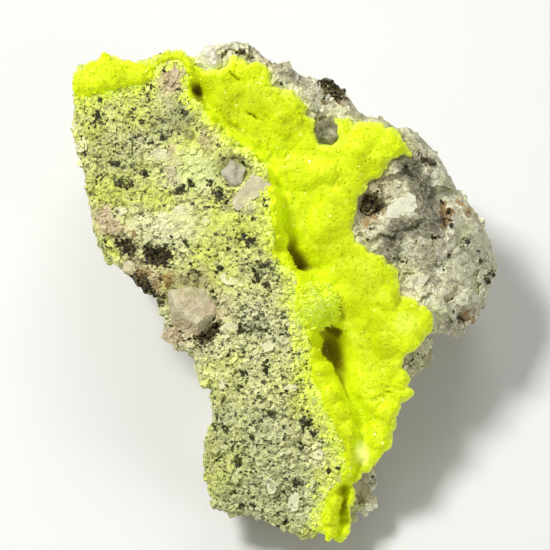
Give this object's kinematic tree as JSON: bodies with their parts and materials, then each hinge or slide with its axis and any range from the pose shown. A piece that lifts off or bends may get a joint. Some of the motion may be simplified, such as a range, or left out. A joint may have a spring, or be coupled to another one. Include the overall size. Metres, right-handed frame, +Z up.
{
  "type": "autunite specimen",
  "caption": "Autunite specimen: a vivid yellow-green crystal crust lining the open seam of a lump of speckled granite and pale quartz-feldspar rock.",
  "frame": {"origin": "on the surface that the specimen lies on, below the centre of its bounding box", "axes": "+Z up; the display face looks up and leans 25 degrees towards -Y, with the capped end at +Y and the narrow end at -Y"},
  "size_m": [0.0862, 0.1054, 0.053],
  "materials": {
    "granite": "rough broken granite with black mica, grey quartz, pale feldspar and rust stains",
    "autunite": "velvety crust of small yellow-green plates with a pearly sparkle",
    "quartz": "milky to grey glassy quartz",
    "feldspar": "pale cleaved feldspar"
  },
  "bodies": {
    "root": {"granite_matrix": "granite", "autunite_crust": "autunite", "quartz_nodule": "quartz", "smoky_quartz": "quartz", "grey_quartz": "quartz", "white_quartz": "quartz", "feldspar_lath": "feldspar"}
  },
  "joints": []
}
